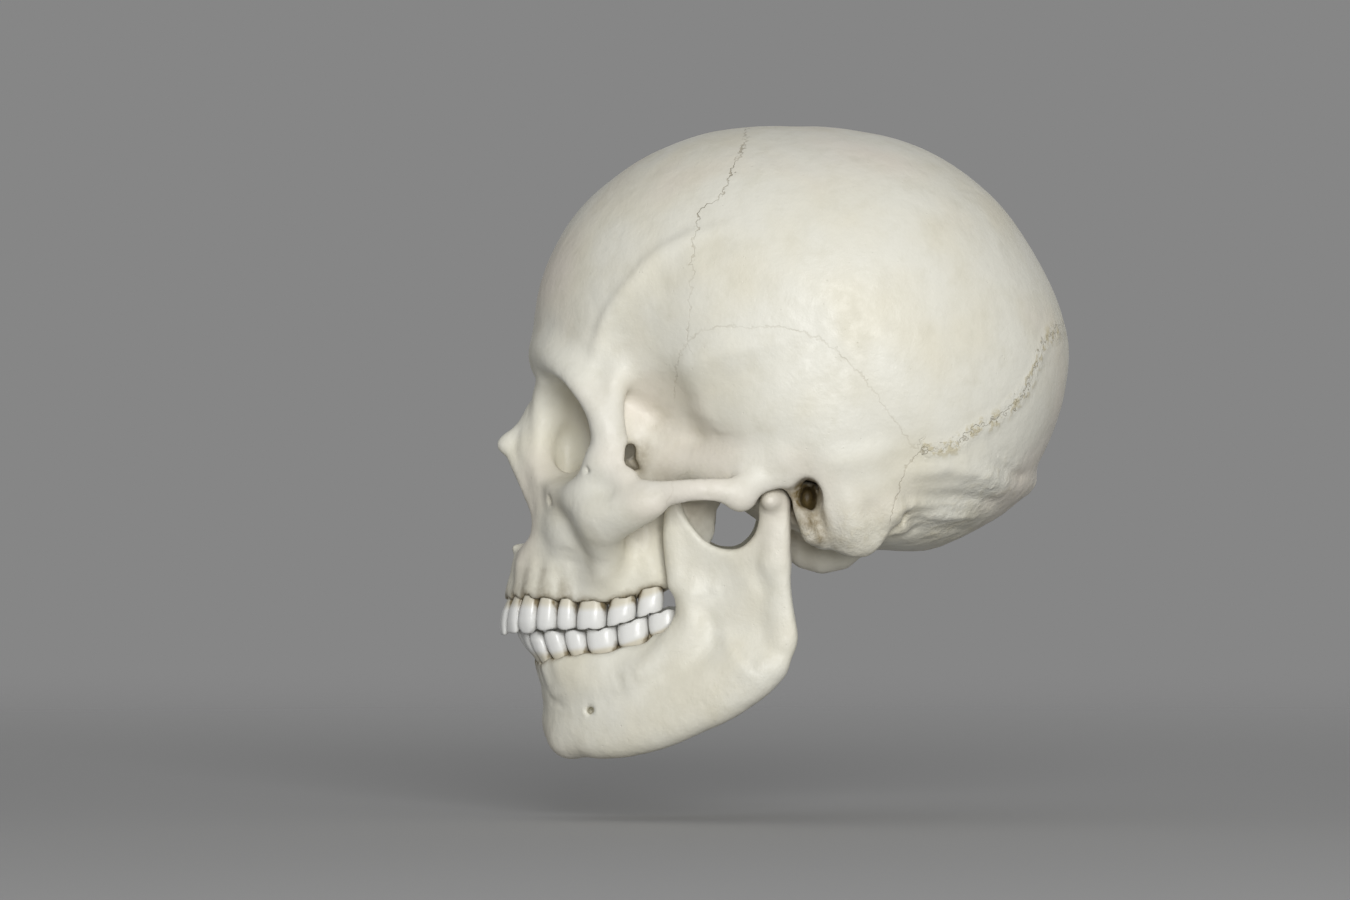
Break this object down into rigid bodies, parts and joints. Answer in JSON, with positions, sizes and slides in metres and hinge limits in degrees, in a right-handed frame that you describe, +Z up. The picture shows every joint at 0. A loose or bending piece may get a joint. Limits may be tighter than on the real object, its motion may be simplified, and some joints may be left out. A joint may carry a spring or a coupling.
{
  "type": "anatomical skull model",
  "caption": "Life-size teaching skull: hollow cranium casting with a hinged lower jaw and separately set upper and lower teeth.",
  "frame": {"origin": "centre of the foramen magnum, the hole in the base where the spine or a stand's post goes in", "axes": "+Z up to the crown with the ear openings and lower orbit rims level, -Y towards the face, +X to the skull's own left"},
  "size_m": [0.1428, 0.1915, 0.2115],
  "materials": {
    "bone": "satin ivory cast resin",
    "tooth": "smooth white cast resin"
  },
  "bodies": {
    "cranium": {"cranium": "bone", "upper_left_central_incisor": "tooth", "upper_left_lateral_incisor": "tooth", "upper_left_canine": "tooth", "upper_left_first_premolar": "tooth", "upper_left_second_premolar": "tooth", "upper_left_first_molar": "tooth", "upper_left_second_molar": "tooth", "upper_left_third_molar": "tooth", "upper_right_central_incisor": "tooth", "upper_right_lateral_incisor": "tooth", "upper_right_canine": "tooth", "upper_right_first_premolar": "tooth", "upper_right_second_premolar": "tooth", "upper_right_first_molar": "tooth", "upper_right_second_molar": "tooth", "upper_right_third_molar": "tooth"},
    "mandible": {"mandible": "bone", "lower_left_central_incisor": "tooth", "lower_left_lateral_incisor": "tooth", "lower_left_canine": "tooth", "lower_left_first_premolar": "tooth", "lower_left_second_premolar": "tooth", "lower_left_first_molar": "tooth", "lower_left_second_molar": "tooth", "lower_left_third_molar": "tooth", "lower_right_central_incisor": "tooth", "lower_right_lateral_incisor": "tooth", "lower_right_canine": "tooth", "lower_right_first_premolar": "tooth", "lower_right_second_premolar": "tooth", "lower_right_first_molar": "tooth", "lower_right_second_molar": "tooth", "lower_right_third_molar": "tooth"}
  },
  "joints": [
    {"name": "jaw_hinge", "type": "hinge", "parent": "cranium", "child": "mandible", "pos_m": [0, -0.0315, 0.0191], "axis": [1, 0, 0], "range_deg": [0, 20]}
  ]
}
